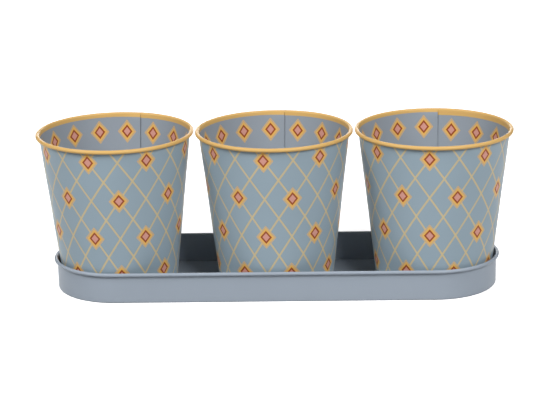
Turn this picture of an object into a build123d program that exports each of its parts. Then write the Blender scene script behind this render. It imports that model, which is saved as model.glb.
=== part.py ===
"""Indoor herb planter: three tapered sheet-steel pots standing in one long tray with rounded ends.

Each pot is a rolled wall with a lap seam, a rim curled outwards over a steel wire, and a base pan
whose flange is held in the wall's folded hem. The tray is a wall band with the same kind of wired
rim, and a floor plate that lies on the band's turned-in foot. The pots lift straight up.

Millimetres. Z is up, X runs along the tray. The origin is on the standing surface, under the
middle of the tray.
"""

import os
from math import asin, atan2, cos, degrees, hypot, radians, sin, sqrt

from build123d import *

# Pot
POT_HEIGHT = 111.0
RIM_DIAMETER = 110.0
FOOT_DIAMETER = 80.0
POT_SHEET = 0.4
POT_WIRE_DIAMETER = 1.4
RIM_GAP = 1.1
LAP_WIDTH = 5.0
# Where each seam's free edge lies, in degrees round the pot from +X towards +Y, which is the back
SEAM_ANGLES = {"left": 75.0, "middle": 83.0, "right": 83.5}

# Pot base
BASE_HEIGHT = 5.0
BASE_BEND = 1.2
HEM_GAP = 0.4
HEM_BEND = 0.25
DRAIN_DIAMETER = 6.0
DRAIN_COUNT = 4
DRAIN_CIRCLE_SHARE = 0.55

# Tray
TRAY_HEIGHT = 22.0
TRAY_SHEET = 0.5
TRAY_WIRE_DIAMETER = 0.9
POT_CLEARANCE = 1.5
TRAY_FOOT_WIDTH = 6.0
TRAY_FOOT_BEND = 0.8

# Sheet work
FOLD_CLEARANCE = 0.1
WIRE_CLEARANCE = 0.3
CURL_ARC = 300.0

# Sizes that follow from the ones above
POT_PITCH = RIM_DIAMETER + RIM_GAP
POT_CENTRES = {"left": -POT_PITCH, "middle": 0.0, "right": POT_PITCH}
HEM_HEIGHT = BASE_HEIGHT - BASE_BEND - HEM_GAP
DRAIN_CIRCLE_DIAMETER = DRAIN_CIRCLE_SHARE * FOOT_DIAMETER
TRAY_FLOOR_TOP = 2 * TRAY_SHEET


def curl_radius(sheet, wire_diameter):
    """Radius of the curl's sheet at mid-thickness, wound round the wire."""
    return wire_diameter / 2 + WIRE_CLEARANCE + sheet / 2


def bead_radius(sheet, wire_diameter):
    """Outside radius of the finished rim bead."""
    return curl_radius(sheet, wire_diameter) + sheet / 2


def tangent_to_curl(start, centre, radius):
    """Where a straight wall from start meets the curl, and the wall's direction there."""
    across, up = centre[0] - start[0], centre[1] - start[1]
    distance = hypot(across, up)
    angle = atan2(up, across) + asin(radius / distance)
    direction = (cos(angle), sin(angle))
    length = sqrt(distance**2 - radius**2)
    return (start[0] + length * direction[0], start[1] + length * direction[1]), direction


def seam_plane(side):
    """Upright plane from a pot's axis through its seam: x runs outwards, y up from the pot's foot."""
    angle = radians(SEAM_ANGLES[side])
    outward = (cos(angle), sin(angle), 0)
    normal = (outward[1], -outward[0], 0)
    return Plane(origin=(POT_CENTRES[side], 0, TRAY_FLOOR_TOP), x_dir=outward, z_dir=normal)


def upright_axis(centre_x):
    return Axis((centre_x, 0, 0), (0, 0, 1))


# The pot's section, worked out once, with x as the radius and y as the height above the pot's foot
POT_CURL = curl_radius(POT_SHEET, POT_WIRE_DIAMETER)
POT_BEAD = bead_radius(POT_SHEET, POT_WIRE_DIAMETER)
POT_WIRE_CENTRE = (RIM_DIAMETER / 2 - POT_BEAD, POT_HEIGHT - POT_BEAD)
POT_WALL_FOOT = (FOOT_DIAMETER / 2 - POT_SHEET / 2, POT_SHEET / 2)
POT_WALL_TOP, POT_WALL_RISE = tangent_to_curl(POT_WALL_FOOT, POT_WIRE_CENTRE, POT_CURL)


def pot_wall_point(height, inset):
    """A point at that height, on a line parallel to the wall's middle and inset from it."""
    run = (height - POT_WALL_FOOT[1]) / POT_WALL_RISE[1]
    return (
        POT_WALL_FOOT[0] + run * POT_WALL_RISE[0] - inset / POT_WALL_RISE[1],
        height,
    )


def make_pot_wall(side):
    """Rolled wall: inside return of the hem, flat foot, slanted wall, curl, and the seam's inner lap."""
    centre_x = POT_CENTRES[side]
    return_inset = 2 * (POT_SHEET + FOLD_CLEARANCE)
    lap_start = pot_wall_point(BASE_HEIGHT + POT_SHEET / 2 + FOLD_CLEARANCE, POT_SHEET * 3 / 4)
    lap_end = pot_wall_point(POT_WALL_TOP[1], POT_SHEET * 3 / 4)
    lap_angle = degrees(LAP_WIDTH / POT_WALL_TOP[0])

    with BuildPart() as wall:
        with BuildSketch(seam_plane(side)):
            with BuildLine():
                FilletPolyline(
                    pot_wall_point(HEM_HEIGHT, return_inset),
                    pot_wall_point(POT_WALL_FOOT[1], return_inset),
                    POT_WALL_FOOT,
                    POT_WALL_TOP,
                    radius=HEM_BEND,
                )
                JernArc(POT_WALL_TOP, POT_WALL_RISE, POT_CURL, -CURL_ARC)
            trace(line_width=POT_SHEET)
        revolve(axis=upright_axis(centre_x))
        # The lap reaches half-way into the wall's sheet, so that the two become one
        with BuildSketch(seam_plane(side)):
            with BuildLine():
                Line(lap_start, lap_end)
            trace(line_width=POT_SHEET * 3 / 2)
        revolve(axis=upright_axis(centre_x), revolution_arc=lap_angle)
    wall.part.label = f"pot_{side}_wall"
    return wall.part


def make_pot_base(side):
    """Base pan: a flat disc with drain holes, and a flange that runs down into the wall's hem."""
    centre_x = POT_CENTRES[side]
    flange_inset = POT_SHEET + FOLD_CLEARANCE
    flange_foot = POT_SHEET + FOLD_CLEARANCE

    with BuildPart() as base:
        with BuildSketch(seam_plane(side)):
            with BuildLine():
                FilletPolyline(
                    (0, BASE_HEIGHT),
                    pot_wall_point(BASE_HEIGHT, flange_inset),
                    pot_wall_point(flange_foot, flange_inset),
                    radius=BASE_BEND,
                )
            trace(line_width=POT_SHEET)
        revolve(axis=upright_axis(centre_x))
        base_top = TRAY_FLOOR_TOP + BASE_HEIGHT + POT_SHEET / 2
        with Locations((centre_x, 0, base_top)):
            with PolarLocations(DRAIN_CIRCLE_DIAMETER / 2, DRAIN_COUNT, 45):
                Hole(DRAIN_DIAMETER / 2, depth=2 * POT_SHEET)
    base.part.label = f"pot_{side}_base"
    return base.part


def make_pot_rim_wire(side):
    """Steel ring inside the curled rim."""
    centre_x = POT_CENTRES[side]
    with BuildPart() as wire:
        with BuildSketch(seam_plane(side)):
            with Locations(POT_WIRE_CENTRE):
                Circle(POT_WIRE_DIAMETER / 2)
        revolve(axis=upright_axis(centre_x))
    wire.part.label = f"pot_{side}_rim_wire"
    return wire.part


# The tray's section, with x as the distance from its middle line and y as the height. Its wall stands
# clear of the pots, which are widest beside it at its top.
TRAY_CURL = curl_radius(TRAY_SHEET, TRAY_WIRE_DIAMETER)
TRAY_BEAD = bead_radius(TRAY_SHEET, TRAY_WIRE_DIAMETER)
POT_RADIUS_AT_TRAY_TOP = pot_wall_point(TRAY_HEIGHT - TRAY_FLOOR_TOP, -POT_SHEET / 2)[0]
TRAY_WALL_MIDDLE = POT_RADIUS_AT_TRAY_TOP + POT_CLEARANCE + TRAY_SHEET / 2
TRAY_WIRE_CENTRE = (TRAY_WALL_MIDDLE + TRAY_CURL, TRAY_HEIGHT - TRAY_BEAD)


def tray_section_plane(end):
    """Upright plane at the centre of the right end (1) or the left end (-1): x runs outwards, y up."""
    return Plane(origin=(end * POT_PITCH, 0, 0), x_dir=(0, -end, 0), z_dir=(-end, 0, 0))


def carry_round_half(section, end):
    """Carries a section round the end it stands at, and along the straight side to the other end."""
    extrude(section, amount=2 * POT_PITCH, dir=(-end, 0, 0))
    revolve(section, axis=upright_axis(end * POT_PITCH), revolution_arc=180)


def make_tray_wall():
    """Wall band: turned-in foot, upright wall, curled rim, and the seam's outer lap at the back."""
    wall_top = (TRAY_WALL_MIDDLE, TRAY_WIRE_CENTRE[1])
    lap_foot = TRAY_SHEET / 2 + TRAY_FOOT_BEND
    lap_height = TRAY_HEIGHT - 2 * TRAY_BEAD - TRAY_SHEET - lap_foot

    with BuildPart() as wall:
        for end in (1, -1):
            with BuildSketch(tray_section_plane(end), mode=Mode.PRIVATE) as section:
                with BuildLine():
                    FilletPolyline(
                        (TRAY_WALL_MIDDLE - TRAY_FOOT_WIDTH, TRAY_SHEET / 2),
                        (TRAY_WALL_MIDDLE, TRAY_SHEET / 2),
                        wall_top,
                        radius=TRAY_FOOT_BEND,
                    )
                    JernArc(wall_top, (0, 1), TRAY_CURL, -CURL_ARC)
                trace(line_width=TRAY_SHEET)
            carry_round_half(section.sketch, end)
        with Locations((0, TRAY_WALL_MIDDLE + TRAY_SHEET * 3 / 4, lap_foot + lap_height / 2)):
            Box(LAP_WIDTH, TRAY_SHEET * 3 / 2, lap_height)
    wall.part.label = "tray_wall"
    return wall.part


def make_tray_floor():
    """Flat floor plate, lying on the wall's turned-in foot and clear of the bend round it."""
    floor_radius = TRAY_WALL_MIDDLE - TRAY_FOOT_BEND - FOLD_CLEARANCE
    with BuildPart() as floor:
        with BuildSketch(Plane.XY.offset(TRAY_SHEET)):
            SlotCenterToCenter(2 * POT_PITCH, 2 * floor_radius)
        extrude(amount=TRAY_SHEET)
    floor.part.label = "tray_floor"
    return floor.part


def make_tray_rim_wire():
    """Steel wire inside the tray's curled rim, bent to the tray's outline."""
    with BuildPart() as wire:
        for end in (1, -1):
            with BuildSketch(tray_section_plane(end), mode=Mode.PRIVATE) as section:
                with Locations(TRAY_WIRE_CENTRE):
                    Circle(TRAY_WIRE_DIAMETER / 2)
            carry_round_half(section.sketch, end)
    wire.part.label = "tray_rim_wire"
    return wire.part


def make_planter():
    """Every piece of the planter, where it stands."""
    pieces = [make_tray_wall(), make_tray_floor(), make_tray_rim_wire()]
    for side in POT_CENTRES:
        pieces += [make_pot_wall(side), make_pot_base(side), make_pot_rim_wire(side)]
    return pieces


os.makedirs("parts", exist_ok=True)
for piece in make_planter():
    export_step(piece, f"parts/{piece.label}.step")
    print(f"{piece.label}: {len(piece.solids())} solid, {piece.volume:.1f} mm3")
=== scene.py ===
"""Dresses the herb planter: printed, lacquered sheet-steel pots in a lacquered drip tray.

The pot walls and the tray's wall band are modelled here as rolled and folded sheet. The base pans,
the tray's floor plate and the rim wires are the CAD nodes with their own finishes. Metres, Z up.
"""

from math import asin, atan2, cos, hypot, pi, radians, sin, sqrt, tau

import bmesh
import bpy
from mathutils import Matrix, Vector


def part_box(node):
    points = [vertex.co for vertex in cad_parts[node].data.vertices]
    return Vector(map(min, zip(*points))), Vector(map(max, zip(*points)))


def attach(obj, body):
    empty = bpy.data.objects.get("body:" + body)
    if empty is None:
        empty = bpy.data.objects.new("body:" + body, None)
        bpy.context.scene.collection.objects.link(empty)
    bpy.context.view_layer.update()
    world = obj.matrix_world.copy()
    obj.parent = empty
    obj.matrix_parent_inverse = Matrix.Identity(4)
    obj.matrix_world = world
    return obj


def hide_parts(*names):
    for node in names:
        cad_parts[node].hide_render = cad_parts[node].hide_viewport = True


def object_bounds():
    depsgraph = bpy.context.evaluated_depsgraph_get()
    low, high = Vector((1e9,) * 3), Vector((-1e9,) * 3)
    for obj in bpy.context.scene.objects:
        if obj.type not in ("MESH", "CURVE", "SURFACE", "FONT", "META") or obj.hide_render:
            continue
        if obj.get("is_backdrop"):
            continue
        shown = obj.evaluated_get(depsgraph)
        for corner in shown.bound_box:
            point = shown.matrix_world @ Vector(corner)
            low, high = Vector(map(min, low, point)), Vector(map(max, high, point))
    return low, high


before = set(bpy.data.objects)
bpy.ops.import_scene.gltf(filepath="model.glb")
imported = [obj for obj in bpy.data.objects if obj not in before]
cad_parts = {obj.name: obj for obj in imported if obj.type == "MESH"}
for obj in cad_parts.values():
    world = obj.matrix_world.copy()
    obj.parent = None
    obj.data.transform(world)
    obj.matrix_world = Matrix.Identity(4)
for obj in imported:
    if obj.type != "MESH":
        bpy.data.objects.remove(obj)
cad_low, cad_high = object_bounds()

MM = 0.001

# Pot sheet
RIM_RADIUS = 55.0 * MM
FOOT_RADIUS = 40.0 * MM
POT_HEIGHT = 111.0 * MM
POT_SHEET = 0.4 * MM
POT_BEAD_RADIUS = 1.4 * MM
POT_CURL_STEPS = 30
POT_WALL_STEPS = 30
# Length of the wall's top strip, behind the bead
BEAD_REACH = 1.5 * MM
HEM_HEIGHT = 3.4 * MM
HEM_INSET = 1.0 * MM
HEM_BEND = 0.25 * MM
HEM_BEND_STEPS = 4

# Pot seam: the sheet starts inside the lap, a step further in, and works out to the round wall.
# The curl steps in less, because it stays round its wire.
COLUMN_ANGLE = radians(2)
LAP_COLUMNS = 3
RAMP_COLUMNS = 5
LAP_ANGLE = LAP_COLUMNS * COLUMN_ANGLE
LAP_STEP = 0.7 * MM
CURL_STEP = 0.25 * MM
# How far above the pot's foot the lap begins
LAP_FOOT = 7.0 * MM
# Where each seam shows inside its pot, round from +X towards +Y, which is the back
SEAM_ANGLES = {"left": radians(75.0), "middle": radians(83.0), "right": radians(83.5)}
# How far down the print lies half-way round each pot, and how much it falls in a whole turn
PRINT_DROPS = {"left": 0.1 * MM, "middle": 0.0, "right": 0.3 * MM}
PRINT_FALLS = {"left": 0.5 * MM, "middle": 0.5 * MM, "right": 2.2 * MM}

# Tray sheet
TRAY_SHEET = 0.5 * MM
TRAY_BEAD_RADIUS = 1.25 * MM
TRAY_CURL_STEPS = 26
TRAY_WALL_STEPS = 6
TRAY_FOOT_WIDTH = 6.0 * MM
TRAY_FOOT_BEND = 0.8 * MM
TRAY_BEND_STEPS = 6
TRAY_END_COLUMNS = 72
TRAY_SIDE_COLUMNS = 16
TRAY_LAP_WIDTH = 5.0 * MM
# Least share of a lap face's normal that points backwards
LAP_FACING = 0.9

# Sheet work
CURL_ARC = radians(300)
MERGE_DISTANCE = 0.001 * MM
SHARP_TURN = radians(40)
# What counts as the curl: all from this far below the wall's top, and all this far outside the wall
CURL_START_SLACK = 0.01 * MM
CURL_STAND_OFF = 0.1 * MM

# Unevenness of thin rolled sheet
RIPPLE_SIZE = 38.0 * MM
POT_RIPPLE = 0.5 * MM
TRAY_RIPPLE = 0.3 * MM
# Shares of the wall's height, from either end: the part without ripple, and the part in which it grows
RIPPLE_CLEAR = 0.1
RIPPLE_FADE = 1 / 6

# Where the CAD puts things
tray_low, tray_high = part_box("tray_wall")
TRAY_FLOOR_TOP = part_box("tray_floor")[1].z
TRAY_TOP = tray_high.z
TRAY_WALL_MIDDLE = tray_high.y - 2 * TRAY_BEAD_RADIUS + TRAY_SHEET / 2
TRAY_END_CENTRE = tray_high.x - tray_high.y


def pot_centre(side):
    """Where a pot's axis stands along the row."""
    low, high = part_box(f"pot_{side}_wall")
    return (low.x + high.x) / 2


# The pot's section at mid-sheet: x is the radius, y the height
POT_CURL_RADIUS = POT_BEAD_RADIUS - POT_SHEET / 2
CURL_CENTRE = Vector((RIM_RADIUS - POT_BEAD_RADIUS, TRAY_FLOOR_TOP + POT_HEIGHT - POT_BEAD_RADIUS))
WALL_FOOT = Vector((FOOT_RADIUS - POT_SHEET / 2, TRAY_FLOOR_TOP + POT_SHEET / 2))
foot_to_curl = CURL_CENTRE - WALL_FOOT
wall_angle = atan2(foot_to_curl.y, foot_to_curl.x) + asin(POT_CURL_RADIUS / foot_to_curl.length)
WALL_RISE = Vector((cos(wall_angle), sin(wall_angle)))
WALL_LENGTH = sqrt(foot_to_curl.length_squared - POT_CURL_RADIUS**2)
WALL_TOP = WALL_FOOT + WALL_RISE * WALL_LENGTH


def wall_radius(height):
    """Radius of the wall's middle at a height above the standing surface."""
    return WALL_FOOT.x + (height - WALL_FOOT.y) * WALL_RISE.x / WALL_RISE.y


def curl_points(start, direction, radius, steps):
    """Points of a curl that leaves start along direction and turns outwards, to the right of it."""
    centre = start + Vector((direction.y, -direction.x)) * radius
    arm = start - centre
    return [centre + Matrix.Rotation(-CURL_ARC * i / steps, 2) @ arm for i in range(1, steps + 1)]


def bend_points(corner, before, after, radius, steps):
    """Points that round a right-angled corner between two directions."""
    centre = corner - before * radius + after * radius
    points = []
    for i in range(steps + 1):
        turn = pi / 2 * i / steps
        points.append(centre - after * radius * cos(turn) + before * radius * sin(turn))
    return points


def pot_section():
    """The pot sheet's line from the hem's inside edge, round the foot, up the wall and round the curl."""
    down, across, up = Vector((0, -1)), Vector((1, 0)), Vector((0, 1))
    hem_top = TRAY_FLOOR_TOP + HEM_HEIGHT
    hem_foot = Vector((WALL_FOOT.x - HEM_INSET, WALL_FOOT.y))
    line = [Vector((wall_radius(hem_top) - HEM_INSET, hem_top))]
    line += bend_points(hem_foot, down, across, HEM_BEND, HEM_BEND_STEPS)
    line += bend_points(WALL_FOOT, across, up, HEM_BEND, HEM_BEND_STEPS)
    clear_length = WALL_LENGTH - BEAD_REACH
    for i in range(1, POT_WALL_STEPS + 1):
        line.append(WALL_FOOT + WALL_RISE * clear_length * i / POT_WALL_STEPS)
    line.append(WALL_TOP)
    return line + curl_points(WALL_TOP, WALL_RISE, POT_CURL_RADIUS, POT_CURL_STEPS)


def tray_section():
    """The tray sheet's line from the turned-in foot, up the wall and round the curl."""
    across, up = Vector((1, 0)), Vector((0, 1))
    corner = Vector((TRAY_WALL_MIDDLE, tray_low.z + TRAY_SHEET / 2))
    wall_top = Vector((TRAY_WALL_MIDDLE, TRAY_TOP - TRAY_BEAD_RADIUS))
    line = [corner - across * TRAY_FOOT_WIDTH]
    line += bend_points(corner, across, up, TRAY_FOOT_BEND, TRAY_BEND_STEPS)
    wall_start = line[-1]
    line += [wall_start.lerp(wall_top, i / TRAY_WALL_STEPS) for i in range(1, TRAY_WALL_STEPS + 1)]
    return line + curl_points(wall_top, up, TRAY_BEAD_RADIUS - TRAY_SHEET / 2, TRAY_CURL_STEPS)


def start_line(name, points):
    """A new piece, in edit mode, that is a line through the points, all of it selected."""
    bpy.ops.object.select_all(action="DESELECT")
    bpy.ops.mesh.primitive_plane_add(size=MM, location=points[0])
    bpy.ops.object.transform_apply(location=True, rotation=True, scale=True)
    piece = bpy.context.object
    piece.name = name
    piece.data.name = name
    bpy.ops.object.mode_set(mode="EDIT")
    bpy.ops.mesh.select_mode(type="VERT")
    bpy.ops.mesh.select_all(action="SELECT")
    bpy.ops.mesh.merge(type="CENTER")
    for here, there in zip(points, points[1:]):
        bpy.ops.mesh.extrude_region_move(TRANSFORM_OT_translate={"value": there - here})
    bpy.ops.mesh.select_all(action="SELECT")
    return piece


def spin_on(centre_x, angle, steps):
    """Spins the selected line on, anticlockwise from above, and leaves its last place selected."""
    bpy.ops.mesh.spin(steps=steps, angle=-angle, center=(centre_x, 0, 0), axis=(0, 0, 1))


def keep_selected(piece, wanted):
    """Deselects the selected points that aren't wanted."""
    sheet = bmesh.from_edit_mesh(piece.data)
    for point in sheet.verts:
        if point.select and not wanted(point.co):
            point.select = False
    sheet.select_flush_mode()
    bmesh.update_edit_mesh(piece.data)


def select_points(piece, wanted):
    """Selects the points that are wanted."""
    bpy.ops.mesh.select_all(action="SELECT")
    keep_selected(piece, wanted)


def select_faces(piece, wanted):
    """Selects the faces whose middle and normal are wanted."""
    bpy.ops.mesh.select_mode(type="FACE")
    bpy.ops.mesh.select_all(action="DESELECT")
    sheet = bmesh.from_edit_mesh(piece.data)
    for face in sheet.faces:
        face.select = wanted(face.calc_center_median(), face.normal)
    bmesh.update_edit_mesh(piece.data)


def apply_modifier(piece, kind, **settings):
    """Gives the active piece a modifier with its settings, and applies it."""
    modifier = piece.modifiers.new(kind.title(), kind)
    for setting, value in settings.items():
        setattr(modifier, setting, value)
    bpy.ops.object.modifier_apply(modifier=modifier.name)


def close_sheet(piece, outside_point):
    """Joins what the spins left double and turns all faces the way of the sheet's outside."""
    bpy.ops.mesh.select_all(action="SELECT")
    bpy.ops.mesh.remove_doubles(threshold=MERGE_DISTANCE)
    bpy.ops.mesh.normals_make_consistent(inside=False)
    sheet = bmesh.from_edit_mesh(piece.data)
    nearest = min(sheet.faces, key=lambda face: (face.calc_center_median() - outside_point).length)
    if nearest.normal.dot(outside_point - nearest.calc_center_median()) < 0:
        bpy.ops.mesh.flip_normals()
    bpy.ops.object.mode_set(mode="OBJECT")


def ripple_sheet(sheet, foot, top, depth):
    """The slight unevenness of thin rolled sheet, fading out towards its foot and its top."""
    free = sheet.vertex_groups.new(name="Free sheet")
    for point in sheet.data.vertices:
        share = (point.co.z - foot) / (top - foot)
        weight = min(1.0, (min(share, 1 - share) - RIPPLE_CLEAR) / RIPPLE_FADE)
        if weight > 0:
            free.add([point.index], weight, "REPLACE")
    unevenness = bpy.data.textures.new("Sheet unevenness", "CLOUDS")
    unevenness.noise_scale = RIPPLE_SIZE
    unevenness.noise_depth = 1
    apply_modifier(
        sheet,
        "DISPLACE",
        texture=unevenness,
        texture_coords="LOCAL",
        strength=depth,
        mid_level=0.5,
        vertex_group=free.name,
    )


def thicken(sheet, thickness, finishes):
    """Gives a sheet its thickness, and the three finishes of its outside, inside and cut edges."""
    for finish in finishes:
        sheet.data.materials.append(finish)
    apply_modifier(
        sheet,
        "SOLIDIFY",
        thickness=thickness,
        offset=0.0,
        use_even_offset=True,
        material_offset=1,
        material_offset_rim=2,
    )


def angle_round_pot(point):
    """Angle of a point round the pot's axis, anticlockwise from the seam, from 0 to a whole turn."""
    return atan2(point.y, point.x) % tau


def out_of_wall(point):
    """How far a point of the sheet stands outside the round wall's middle."""
    return hypot(point.x, point.y) - wall_radius(point.z)


def in_rim(point):
    """Whether a point of the sheet belongs to the rim's curl."""
    return point.z > WALL_TOP.y - CURL_START_SLACK or out_of_wall(point) > CURL_STAND_OFF


def in_lap(point):
    """Whether a point is at a height where the seam laps, between the foot and the rim."""
    return point.z > TRAY_FLOOR_TOP + LAP_FOOT and not in_rim(point)


def work_out_column(sheet, angle):
    """Moves a column of the sheet out by its part of the seam's step, and leaves it selected."""
    outwards = Vector((cos(angle), sin(angle), 0))

    def in_column(point):
        return abs(angle_round_pot(point) - angle) < COLUMN_ANGLE / 2

    for stepped, step in ((in_lap, LAP_STEP), (in_rim, CURL_STEP)):
        select_points(sheet, lambda point: in_column(point) and stepped(point))
        bpy.ops.transform.translate(value=outwards * step / RAMP_COLUMNS)
    select_points(sheet, in_column)


def roll_pot_sheet():
    """A pot's wall sheet about the origin, with its inside end towards +X.

    The sheet starts inside the lap, goes once round, and ends over the outside of the lap, where
    neither its hem nor its curl is carried on.
    """
    points = []
    for point in pot_section():
        place = Vector((point.x, 0, point.y))
        if in_rim(place):
            place.x -= CURL_STEP
        elif in_lap(place):
            place.x -= LAP_STEP
        points.append(place)
    sheet = start_line("pot_sheet", points)

    spin_on(0, LAP_ANGLE, LAP_COLUMNS)
    for i in range(1, RAMP_COLUMNS + 1):
        spin_on(0, COLUMN_ANGLE, 1)
        work_out_column(sheet, LAP_ANGLE + i * COLUMN_ANGLE)
    columns_left = round(tau / COLUMN_ANGLE) - LAP_COLUMNS - RAMP_COLUMNS
    spin_on(0, columns_left * COLUMN_ANGLE, columns_left)
    keep_selected(sheet, in_lap)
    spin_on(0, LAP_ANGLE, LAP_COLUMNS)

    close_sheet(sheet, Vector((-RIM_RADIUS, 0, TRAY_FLOOR_TOP + POT_HEIGHT / 2)))
    lay_print(sheet)
    return sheet


def climb(point):
    """How far up the sheet a point lies, along the wall and on round the curl."""
    if not in_rim(point):
        return (point.z - WALL_FOOT.y) / WALL_RISE.y
    start = WALL_TOP - CURL_CENTRE
    arm = Vector((hypot(point.x, point.y), point.z)) - CURL_CENTRE
    slack = (tau - CURL_ARC) / 2
    wound = (atan2(start.y, start.x) - atan2(arm.y, arm.x) + slack) % tau - slack
    return WALL_LENGTH + POT_CURL_RADIUS * max(0.0, min(wound, CURL_ARC))


def lay_print(sheet):
    """Maps the print: u counts turns from the sheet's inside end, v is the share of the wall climbed."""
    print_map = sheet.data.uv_layers.new(name="Print")
    for face in sheet.data.polygons:
        middle = angle_round_pot(face.center)
        over_seam = middle < LAP_ANGLE and in_lap(face.center)
        if over_seam and out_of_wall(face.center) > -LAP_STEP / 2:
            middle += tau
        for corner in face.loop_indices:
            point = sheet.data.vertices[sheet.data.loops[corner].vertex_index].co
            turned = middle + (angle_round_pot(point) - middle + pi) % tau - pi
            print_map.data[corner].uv = (turned / tau, climb(point) / WALL_LENGTH)


def stand_pot_wall(pattern, side, finishes):
    """Copies the rolled sheet to its place, with the pot's own seam angle and print register."""
    bpy.ops.object.select_all(action="DESELECT")
    pattern.select_set(True)
    bpy.context.view_layer.objects.active = pattern
    bpy.ops.object.duplicate()
    wall = bpy.context.object
    wall.name = f"pot_{side}_wall_sheet"
    wall.data.name = wall.name
    wall.rotation_euler.z = SEAM_ANGLES[side]
    wall.location.x = pot_centre(side)
    bpy.ops.object.transform_apply(location=True, rotation=True, scale=True)
    for corner in wall.data.uv_layers["Print"].data:
        drop = PRINT_DROPS[side] + PRINT_FALLS[side] * (corner.uv.x - 0.5)
        corner.uv.y += drop / WALL_LENGTH
    ripple_sheet(wall, WALL_FOOT.y, WALL_TOP.y, POT_RIPPLE)
    thicken(wall, POT_SHEET, finishes)
    bpy.ops.object.shade_smooth_by_angle(angle=SHARP_TURN)
    return wall


def raise_tray_lap(band):
    """Brings out the seam's lap on the outside of the tray's back, up to just below the bead."""
    lap_top = TRAY_TOP - 2 * TRAY_BEAD_RADIUS - TRAY_SHEET

    def on_lap(middle, normal):
        at_seam = abs(middle.x) < TRAY_LAP_WIDTH / 2 and middle.y > 0
        return at_seam and middle.z < lap_top and normal.y > LAP_FACING

    bpy.ops.object.mode_set(mode="EDIT")
    select_faces(band, on_lap)
    bpy.ops.mesh.extrude_region_shrink_fatten(TRANSFORM_OT_shrink_fatten={"value": TRAY_SHEET})
    bpy.ops.object.mode_set(mode="OBJECT")


def fold_tray_wall(finishes):
    """The tray's wall band, carried round both ends and along both sides, with its lap at the back."""
    points = [Vector((TRAY_END_CENTRE, -point.x, point.y)) for point in tray_section()]
    band = start_line("tray_wall_sheet", points)
    column_width = (2 * TRAY_END_CENTRE - TRAY_LAP_WIDTH) / TRAY_SIDE_COLUMNS
    half_side = [column_width] * (TRAY_SIDE_COLUMNS // 2)
    side_columns = half_side + [TRAY_LAP_WIDTH] + half_side
    for end in (1, -1):
        spin_on(end * TRAY_END_CENTRE, pi, TRAY_END_COLUMNS)
        for width in side_columns:
            bpy.ops.mesh.extrude_region_move(TRANSFORM_OT_translate={"value": (-end * width, 0, 0)})
    close_sheet(band, Vector((0, -tray_high.y, TRAY_TOP / 2)))
    ripple_sheet(band, tray_low.z, TRAY_TOP - TRAY_BEAD_RADIUS, TRAY_RIPPLE)
    thicken(band, TRAY_SHEET, finishes)
    raise_tray_lap(band)
    bpy.ops.object.shade_smooth_by_angle(angle=SHARP_TURN)
    return band


def linear(red, green, blue):
    """A colour given as it shows on screen, from 0 to 255, in the shader's light units."""

    def channel(value):
        value /= 255
        return value / 12.92 if value <= 0.04045 else ((value + 0.055) / 1.055) ** 2.4

    return (channel(red), channel(green), channel(blue), 1.0)


# Sockets of the Mix node when it mixes colours, and its output
MIX_SHARE = 0
MIX_UNDER = 6
MIX_OVER = 7
MIX_RESULT = 2


class Value:
    """A node's output. Arithmetic on one that carries a number adds Math nodes."""

    def __init__(self, finish, socket):
        self.finish = finish
        self.socket = socket

    def math(self, operation, *others, clamp=False):
        """A Math node on this value and any others."""
        sockets = dict(enumerate((self, *others)))
        return self.finish.node("ShaderNodeMath", {"operation": operation, "use_clamp": clamp}, sockets)

    def flipped(self, operation, other):
        """A Math node that takes the other value first."""
        return self.finish.node("ShaderNodeMath", {"operation": operation}, {0: other, 1: self})

    def __add__(self, other):
        return self.math("ADD", other)

    def __radd__(self, other):
        return self.math("ADD", other)

    def __sub__(self, other):
        return self.math("SUBTRACT", other)

    def __rsub__(self, other):
        return self.flipped("SUBTRACT", other)

    def __mul__(self, other):
        return self.math("MULTIPLY", other)

    def __rmul__(self, other):
        return self.math("MULTIPLY", other)

    def __truediv__(self, other):
        return self.math("DIVIDE", other)

    def __rtruediv__(self, other):
        return self.flipped("DIVIDE", other)

    def __abs__(self):
        return self.math("ABSOLUTE")

    def __round__(self):
        return self.math("ROUND")

    def off_whole(self):
        """How far the value is from the nearest whole number."""
        return self - round(self)

    def between(self, low, high):
        """The value from 0 to 1 spread from low to high."""
        return self * (high - low) + low

    def below(self, limit, softness):
        """1 where the value is under the limit and 0 over it, with a soft edge."""
        return ((limit - self) / softness).math("ADD", 0.5, clamp=True)


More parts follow.
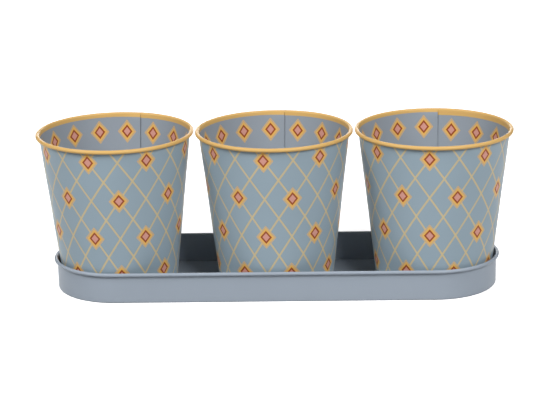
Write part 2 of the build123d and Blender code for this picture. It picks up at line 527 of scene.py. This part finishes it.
class Finish:
    """A material while its nodes are being put together."""

    def __init__(self, name, constants):
        self.material = bpy.data.materials.new(name)
        self.material.use_nodes = True
        self.tree = self.material.node_tree
        self.shader = self.tree.nodes["Principled BSDF"]
        self.set_inputs(self.shader, constants)

    def set_inputs(self, node, sockets):
        """Links values to a node's sockets and sets constants on them, by name or number."""
        for name, value in sockets.items():
            if isinstance(value, Value):
                self.tree.links.new(value.socket, node.inputs[name])
            else:
                node.inputs[name].default_value = value

    def node(self, kind, settings, sockets, output=0):
        """Adds a node with its settings and sockets, and gives one of its outputs."""
        made = self.tree.nodes.new(kind)
        for name, value in settings.items():
            setattr(made, name, value)
        self.set_inputs(made, sockets)
        return Value(self, made.outputs[output])

    def place(self):
        """Where a point lies on the planter."""
        return self.node("ShaderNodeTexCoord", {}, {}, "Object")

    def noise(self, size, detail):
        """Soft noise from 0 to 1 with features of a real size."""
        sockets = {"Vector": self.place(), "Scale": 1 / size, "Detail": detail}
        return self.node("ShaderNodeTexNoise", {}, sockets, "Fac")

    def over(self, under, colour, share):
        """A colour laid over another by a share from 0 to 1."""
        sockets = {MIX_SHARE: share, MIX_UNDER: under, MIX_OVER: colour}
        return self.node("ShaderNodeMix", {"data_type": "RGBA"}, sockets, MIX_RESULT)

    def shaded(self, colour, share):
        """A colour made lighter or darker by a share about 1."""
        grey = self.node("ShaderNodeCombineColor", {}, {0: share, 1: share, 2: share})
        multiply = {"data_type": "RGBA", "blend_type": "MULTIPLY"}
        sockets = {MIX_SHARE: 1.0, MIX_UNDER: colour, MIX_OVER: grey}
        return self.node("ShaderNodeMix", multiply, sockets, MIX_RESULT)

    def bump(self, height, strength, distance):
        """A surface made uneven by a height from 0 to 1, of that real distance."""
        sockets = {"Height": height, "Strength": strength, "Distance": distance}
        return self.node("ShaderNodeBump", {}, sockets, "Normal")

    def done(self, **sockets):
        """Sets the shader's main inputs and gives the material."""
        names = {
            "colour": "Base Color",
            "roughness": "Roughness",
            "normal": "Normal",
            "glow": "Emission Color",
        }
        self.set_inputs(self.shader, {names[k]: v for k, v in sockets.items()})
        return self.material


# Colours, as they show on screen
POT_GROUND = linear(147, 165, 177)
POT_INSIDE = linear(148, 157, 167)
OCHRE_LINE = linear(207, 186, 138)
OCHRE_YELLOW = linear(227, 178, 95)
RIM_OCHRE = linear(215, 174, 106)
BRICK_RED = linear(152, 75, 42)
DUSTY_PINK = linear(210, 151, 138)
TRAY_GREY = linear(152, 162, 174)
# Dark grey of the cut sheet edges: partly the edge's own colour, partly painted shade for the dark shadow
# line along each seam
EDGE_GREY_AND_SEAM_SHADE = linear(58, 60, 62)
ZINC = linear(196, 198, 196)

# Satin lacquer: gloss, cloudiness, orange peel
LACQUER = {"IOR": 1.45, "Specular IOR Level": 0.25}
GLOSS_SIZE = 12.0 * MM
SATIN_ROUGHNESS = (0.36, 0.48)
CLOUD_SIZE = 30.0 * MM
CLOUD_SHADE = (0.97, 1.03)
PEEL_SIZE = 0.9 * MM
PEEL_STRENGTH = 0.12
PEEL_HEIGHT = 0.05 * MM

# Galvanised wire
SPANGLE_SIZE = 2.5 * MM
SPANGLE_SHADE = (0.8, 1.1)
WIRE_ROUGHNESS = (0.35, 0.55)

# The print: a trellis of lozenges
COLUMNS_A_TURN = 16
ROW_HEIGHT = 28.0 * MM
FIRST_ROW = 0.35
EDGE_SOFTNESS = 0.25 * MM
EDGE_WANDER = 0.25 * MM
EDGE_GRAIN = 1.3 * MM
LINE_WIDTH = 1.2 * MM
LINE_STRENGTH = 0.9
# Lozenge, with the sizes of what is nested in it as shares of its own
LOZENGE_HALF_WIDTH = 6.8 * MM
LOZENGE_HALF_HEIGHT = 8.4 * MM
LOZENGE_GAP = 0.91
LOZENGE_BODY = 0.85
LOZENGE_RING = 0.58
LOZENGE_HEART = 0.37
LOZENGE_SOFTNESS = 0.03
# Inside, measured down from the wall's top. The rim band also covers the bead, where this side is out.
RIM_BAND = 2.0 * MM
INSIDE_ROW_DEPTH = 12.5 * MM
BORDER_DEPTH = 31.0 * MM
BORDER_WIDTH = 4.0 * MM


class PotPrint:
    """The print's own coordinates on the sheet, shared by the outside and the inside of the wall."""

    def __init__(self, finish):
        self.finish = finish
        print_map = finish.node("ShaderNodeUVMap", {"uv_map": "Print"}, {})
        self.turns = finish.node("ShaderNodeSeparateXYZ", {}, {0: print_map}, "X")
        self.climb = finish.node("ShaderNodeSeparateXYZ", {}, {0: print_map}, "Y") * WALL_LENGTH
        self.column_width = (WALL_FOOT.x + self.climb * WALL_RISE.x) * (tau / COLUMNS_A_TURN)
        self.edge = (finish.noise(EDGE_GRAIN, detail=2.0) - 0.5) * EDGE_WANDER

    def lozenge(self, under, ground, across, up):
        """Nested lozenges about a middle, from the distances across and up from it."""
        out = (abs(across) + self.edge) / LOZENGE_HALF_WIDTH + abs(up) / LOZENGE_HALF_HEIGHT
        nested = (
            (1.0, OCHRE_YELLOW),
            (LOZENGE_GAP, ground),
            (LOZENGE_BODY, OCHRE_YELLOW),
            (LOZENGE_RING, BRICK_RED),
            (LOZENGE_HEART, DUSTY_PINK),
        )
        colour = under
        for size, paint in nested:
            colour = self.finish.over(colour, paint, out.below(size, LOZENGE_SOFTNESS))
        return colour

    def stripe(self, distance, width):
        """Share of a line of that width, from the distance to its middle."""
        return (abs(distance) + self.edge).below(width / 2, EDGE_SOFTNESS)


def satin(finish, colour):
    """Finishes a lacquer: a little cloudiness, fine orange peel and an uneven gloss."""
    cloud = finish.noise(CLOUD_SIZE, detail=3.0)
    peel = finish.noise(PEEL_SIZE, detail=1.0)
    gloss = finish.noise(GLOSS_SIZE, detail=3.0)
    return finish.done(
        colour=finish.shaded(colour, cloud.between(*CLOUD_SHADE)),
        roughness=gloss.between(*SATIN_ROUGHNESS),
        normal=finish.bump(peel, PEEL_STRENGTH, PEEL_HEIGHT),
    )


def pot_outside_finish():
    """Trellis lines that rise and fall round the pot, with lozenges on every second row of crossings."""
    finish = Finish("Pot outside print", LACQUER)
    pot_print = PotPrint(finish)
    column = pot_print.turns * COLUMNS_A_TURN
    row = pot_print.climb / ROW_HEIGHT + FIRST_ROW
    width = pot_print.column_width
    rising = column + row
    falling = column - row
    # Across a slanting line, one step of either family spans less than a column
    span = width * ROW_HEIGHT / (width * width + ROW_HEIGHT**2).math("SQRT")
    rising_lines = pot_print.stripe(rising.off_whole() * span, LINE_WIDTH)
    falling_lines = pot_print.stripe(falling.off_whole() * span, LINE_WIDTH)
    lines = rising_lines.math("MAXIMUM", falling_lines)
    colour = finish.over(POT_GROUND, OCHRE_LINE, lines * LINE_STRENGTH)
    rise = (rising / 2).off_whole()
    fall = (falling / 2).off_whole()
    colour = pot_print.lozenge(colour, POT_GROUND, (rise + fall) * width, (rise - fall) * ROW_HEIGHT)
    return satin(finish, colour)


def pot_inside_finish():
    """A row of lozenges under the rim, a border lower down, and the rim's own colour."""
    finish = Finish("Pot inside print", LACQUER)
    pot_print = PotPrint(finish)
    column = pot_print.turns * COLUMNS_A_TURN + 0.5
    across = column.off_whole() * pot_print.column_width
    depth = WALL_LENGTH - pot_print.climb
    colour = pot_print.lozenge(POT_INSIDE, POT_INSIDE, across, depth - INSIDE_ROW_DEPTH)
    border = pot_print.stripe(depth - BORDER_DEPTH, BORDER_WIDTH)
    colour = finish.over(colour, OCHRE_YELLOW, border)
    rim = (depth + pot_print.edge).below(RIM_BAND, EDGE_SOFTNESS)
    return satin(finish, finish.over(colour, RIM_OCHRE, rim))


def plain_finish(name, colour):
    """Satin lacquer of one colour."""
    finish = Finish(name, LACQUER)
    return satin(finish, colour)


def bare_steel(name):
    """Zinc-coated steel with a soft spangle."""
    finish = Finish(name, {"Metallic": 1.0})
    spangle = finish.noise(SPANGLE_SIZE, detail=2.0)
    return finish.done(
        colour=finish.shaded(ZINC, spangle.between(*SPANGLE_SHADE)),
        roughness=spangle.between(*WIRE_ROUGHNESS),
    )


outside_print = pot_outside_finish()
inside_print = pot_inside_finish()
base_lacquer = plain_finish("Pot base lacquer", POT_INSIDE)
tray_lacquer = plain_finish("Tray lacquer", TRAY_GREY)
wire_steel = bare_steel("Galvanised wire")
# The cut edges' finish is darkened partly as painted shade, to draw the seams' shadow lines
cut_edge_and_seam_shade = plain_finish("Cut sheet edge and seam shade", EDGE_GREY_AND_SEAM_SHADE)

pot_pattern = roll_pot_sheet()
for side in SEAM_ANGLES:
    wall = stand_pot_wall(pot_pattern, side, (outside_print, inside_print, cut_edge_and_seam_shade))
    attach(wall, f"pot_{side}")
    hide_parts(f"pot_{side}_wall")
    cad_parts[f"pot_{side}_base"].data.materials[0] = base_lacquer
    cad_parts[f"pot_{side}_rim_wire"].data.materials[0] = wire_steel
bpy.data.objects.remove(pot_pattern)

tray_band = fold_tray_wall((tray_lacquer, tray_lacquer, cut_edge_and_seam_shade))
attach(tray_band, "tray")
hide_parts("tray_wall")
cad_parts["tray_floor"].data.materials[0] = tray_lacquer
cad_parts["tray_rim_wire"].data.materials[0] = wire_steel


# Studio lights, with powers in watts
LIGHT_TARGET = Vector((0, 0, 0.05))
LIGHT_DISTANCE = 1.9
# Name, turn from the front to the right and rise in degrees, width, height and power
SOFT_BOXES = (
    ("Left soft box", -55, 42, 0.8, 0.8, 24.0),
    ("Right soft box", 35, 38, 0.8, 0.8, 27.0),
    ("Back soft box", 180, 9, 1.6, 0.5, 15.0),
    ("Top soft box", 0, 90, 1.5, 1.5, 2.0),
)
BOUNCE_HEIGHT = 0.2 * MM
BOUNCE_SIZE = 2.4
BOUNCE_POWER = 7.0
SKY_STRENGTH = 0.05

# Studio floor. It glows less near the planter, where the soft boxes light it, and more further out.
# The change is half done at LIT_REACH.
FLOOR_SIZE = 12.0
FLOOR_COLOUR = linear(250, 250, 250)
FLOOR_ROUGHNESS = 0.9
NEAR_GLOW = linear(205, 205, 205)
FAR_GLOW = linear(255, 255, 255)
LIT_REACH = 1.4

# Camera: its place and its angles in radians, and its focal length as a share of the picture's width
CAMERA_PLACE = (34.2 * MM, -1246.87 * MM, 433.16 * MM)
CAMERA_TURN = -0.02764
CAMERA_TIP = -0.29384
CAMERA_ROLL = -0.01952
FOCAL_SHARE = 1850 / 550
SENSOR_WIDTH = 36.0
NEAREST_SEEN = 0.01
FURTHEST_SEEN = 50.0


def lay_floor():
    """A pale floor that shows white all over. The light it would throw back up is the floor bounce's."""
    bpy.ops.object.select_all(action="DESELECT")
    bpy.ops.mesh.primitive_plane_add(size=FLOOR_SIZE, location=(0, 0, 0))
    floor = bpy.context.object
    floor.name = "studio_floor"
    floor.visible_diffuse = False
    finish = Finish("Studio floor", {"Roughness": FLOOR_ROUGHNESS, "Emission Strength": 1.0})
    reach = finish.node("ShaderNodeVectorMath", {"operation": "LENGTH"}, {0: finish.place()}, "Value")
    lit = reach.below(LIT_REACH, LIT_REACH)
    glow = finish.over(FAR_GLOW, NEAR_GLOW, lit)
    floor.data.materials.append(finish.done(colour=FLOOR_COLOUR, glow=glow))
    floor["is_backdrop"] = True


def add_light(name, place, facing, width, height, power):
    """A flat light of that size, facing that way."""
    lamp = bpy.data.lights.new(name, "AREA")
    lamp.shape = "RECTANGLE"
    lamp.size = width
    lamp.size_y = height
    lamp.energy = power
    light = bpy.data.objects.new(name, lamp)
    light.location = place
    light.rotation_euler = facing.to_track_quat("-Z", "Y").to_euler()
    bpy.context.scene.collection.objects.link(light)
    return light


def hang_soft_box(name, turn, rise, width, height, power):
    """A soft box that faces the planter, at a turn from the front to the right and a rise, in degrees."""
    turn, rise = radians(turn), radians(rise)
    away = Vector((cos(rise) * sin(turn), -cos(rise) * cos(turn), sin(rise)))
    add_light(name, LIGHT_TARGET + LIGHT_DISTANCE * away, -away, width, height, power)


def lay_floor_bounce():
    """The light that a pale table throws back up, from a sheet that only lights and isn't seen itself."""
    place = Vector((0, 0, BOUNCE_HEIGHT))
    bounce = add_light("Floor bounce", place, Vector((0, 0, 1)), BOUNCE_SIZE, BOUNCE_SIZE, BOUNCE_POWER)
    bounce.visible_camera = False
    bounce.visible_glossy = False


def set_studio():
    """Floor, lights and a faint, even sky."""
    lay_floor()
    lay_floor_bounce()
    for soft_box in SOFT_BOXES:
        hang_soft_box(*soft_box)
    world = bpy.data.worlds.new("Studio")
    world.use_nodes = True
    sky = world.node_tree.nodes["Background"]
    sky.inputs["Color"].default_value = (1, 1, 1, 1)
    sky.inputs["Strength"].default_value = SKY_STRENGTH
    bpy.context.scene.world = world
    bpy.context.scene.view_settings.view_transform = "Standard"
    bpy.context.scene.view_settings.look = "None"


def set_camera():
    """The photograph's viewpoint: a long lens, in front and above, turned and tipped a little."""
    camera = bpy.data.cameras.new("Camera")
    camera.sensor_width = SENSOR_WIDTH
    camera.lens = FOCAL_SHARE * SENSOR_WIDTH
    camera.clip_start = NEAREST_SEEN
    camera.clip_end = FURTHEST_SEEN
    flat = cos(CAMERA_TIP)
    forward = Vector((sin(CAMERA_TURN) * flat, cos(CAMERA_TURN) * flat, sin(CAMERA_TIP)))
    level = Vector((cos(CAMERA_TURN), -sin(CAMERA_TURN), 0))
    upright = level.cross(forward)
    right = level * cos(CAMERA_ROLL) + upright * sin(CAMERA_ROLL)
    up = upright * cos(CAMERA_ROLL) - level * sin(CAMERA_ROLL)
    view = bpy.data.objects.new("Camera", camera)
    facing = Matrix((right, up, -forward)).transposed().to_4x4()
    view.matrix_world = Matrix.Translation(CAMERA_PLACE) @ facing
    bpy.context.scene.collection.objects.link(view)
    bpy.context.scene.camera = view


set_studio()
set_camera()

new_low, new_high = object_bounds()
{"cad": [list(cad_low), list(cad_high)], "visual": [list(new_low), list(new_high)]}
